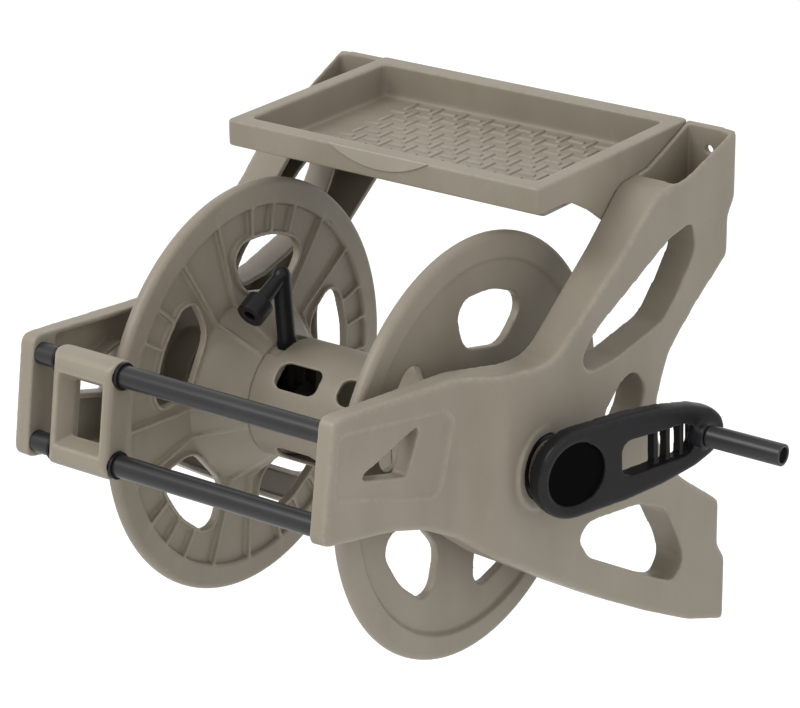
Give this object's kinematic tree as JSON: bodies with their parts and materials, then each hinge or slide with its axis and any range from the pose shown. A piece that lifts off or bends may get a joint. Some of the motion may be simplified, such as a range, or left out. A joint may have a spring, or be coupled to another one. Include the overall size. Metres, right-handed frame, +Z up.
{
  "type": "wall mounted hose reel",
  "caption": "Wall mounted hose reel: moulded side frames carry a cranked flanged drum, a hose guide that slides on rods, and a shelf tray on top.",
  "frame": {"origin": "middle of the four wall screw holes, on the wall and level with the drum axis", "axes": "+X along the drum axis to the crank side, +Y into the wall, +Z up"},
  "size_m": [0.5647, 0.4911, 0.436],
  "materials": {
    "taupe_plastic": "satin moulded",
    "pale_plastic": "satin moulded",
    "black_plastic": "satin moulded",
    "rubber": "matte",
    "steel": "zinc plated",
    "brass": "turned"
  },
  "bodies": {
    "frame": {"left_side_frame": "taupe_plastic", "right_side_frame": "taupe_plastic", "shelf_tray": "taupe_plastic", "tray_badge": "pale_plastic", "tray_screws": "steel", "upper_guide_rod": "black_plastic", "lower_guide_rod": "black_plastic", "left_bearing_bush": "black_plastic", "right_bearing_bush": "black_plastic", "left_thrust_washer": "black_plastic", "right_thrust_washer": "black_plastic", "inlet_tube": "black_plastic", "inlet_seals": "rubber", "inlet_cover": "taupe_plastic", "cover_screws": "steel"},
    "drum": {"left_flange": "taupe_plastic", "right_flange": "taupe_plastic", "hub_sleeve": "taupe_plastic", "hub_screws": "steel", "outlet_tube": "black_plastic", "crank_arm": "black_plastic", "crank_cap": "rubber", "crank_screw": "steel", "grip_spindle": "steel"},
    "grip": {"crank_grip": "black_plastic"},
    "guide": {"hose_guide": "taupe_plastic", "guide_bushes": "black_plastic"},
    "swivel": {"inlet_nut": "brass", "inlet_washer": "rubber"}
  },
  "joints": [
    {"name": "drum_spin", "type": "hinge", "parent": "frame", "child": "drum", "pos_m": [0, -0.248, 0], "axis": [1, 0, 0], "continuous": true},
    {"name": "grip_spin", "type": "hinge", "parent": "drum", "child": "grip", "pos_m": [0.26, -0.13347, 0.005], "axis": [1, 0, 0], "continuous": true},
    {"name": "guide_slide", "type": "slide", "parent": "frame", "child": "guide", "axis": [1, 0, 0], "range_m": [-0.018, 0.188]},
    {"name": "swivel_spin", "type": "hinge", "parent": "frame", "child": "swivel", "pos_m": [-0.234, -0.248, 0], "axis": [1, 0, 0], "continuous": true}
  ]
}
